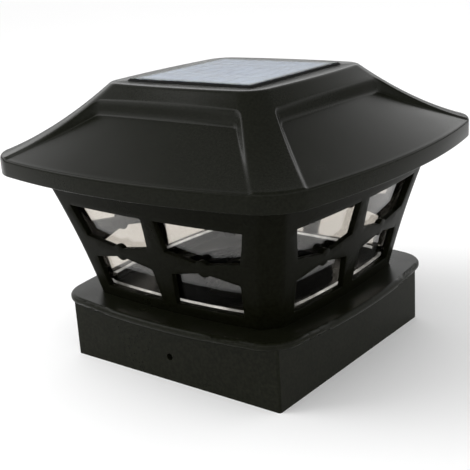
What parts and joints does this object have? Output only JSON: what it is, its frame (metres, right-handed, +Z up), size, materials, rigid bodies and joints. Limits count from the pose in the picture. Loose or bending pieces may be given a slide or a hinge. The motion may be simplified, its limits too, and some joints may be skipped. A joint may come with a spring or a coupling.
{
  "type": "solar pillar light",
  "caption": "Square lantern on a post-cap base with barred clear windows, under a hipped lift-off roof that carries a solar panel, lamps, battery and switch.",
  "frame": {"origin": "centre of the skirt's lower rim, where the cap slides onto its post", "axes": "+Z up along the post; -Y is the face with the front screw hole; +X to the right of it"},
  "size_m": [0.23, 0.23, 0.1668],
  "materials": {
    "black_abs": "moulded, satin",
    "clear_acrylic": "clear, polished",
    "white_abs": "moulded, satin",
    "black_inner_abs": "moulded, matte",
    "zinc_screw": "zinc plated",
    "nickel_contact": "nickel plated sheet",
    "black_rubber": "matte",
    "metallised_plastic": "vacuum-metallised mirror",
    "circuit_laminate": "solder mask",
    "silicon_cell": "polished silicon",
    "tinned_ribbon": "tinned",
    "battery_wrap": "shrink sleeve on a metal can",
    "lamp_resin": "clear epoxy",
    "chip_epoxy": "moulded epoxy",
    "lead_insulation": "extruded insulation"
  },
  "bodies": {
    "base": {"base_cap": "black_abs", "cage_frame": "black_abs", "lens": "clear_acrylic", "reflector_dish": "metallised_plastic", "cage_screws": "zinc_screw"},
    "roof": {"roof_shell": "black_abs", "soffit_plate": "black_abs", "panel_cover": "clear_acrylic", "ceiling_plate": "white_abs", "battery_holder": "black_inner_abs", "electronics_housing": "black_inner_abs", "switch_body": "black_inner_abs", "housing_screws": "zinc_screw", "soffit_screws": "zinc_screw", "door_hinge_pin": "zinc_screw", "battery_contact": "nickel_contact", "battery_spring": "nickel_contact", "panel_gasket": "black_rubber", "wire_seal": "black_rubber", "panel_board": "circuit_laminate", "circuit_board": "circuit_laminate", "solar_cells": "silicon_cell", "cell_ribbons": "tinned_ribbon", "battery": "battery_wrap", "lamps": "lamp_resin", "controller_chip": "chip_epoxy", "choke": "chip_epoxy", "panel_leads": "lead_insulation"},
    "battery_door": {"battery_door": "white_abs"},
    "switch_slider": {"switch_slider": "black_inner_abs"}
  },
  "joints": [
    {"name": "roof_lift", "type": "slide", "parent": "base", "child": "roof", "axis": [0, 0, 1], "range_m": [0, 0.12]},
    {"name": "battery_door_hinge", "type": "hinge", "parent": "roof", "child": "battery_door", "pos_m": [0, 0.0304, 0.117], "axis": [1, 0, 0], "range_deg": [0, 95]},
    {"name": "switch_slide", "type": "slide", "parent": "roof", "child": "switch_slider", "axis": [1, 0, 0], "range_m": [0, 0.003]}
  ]
}
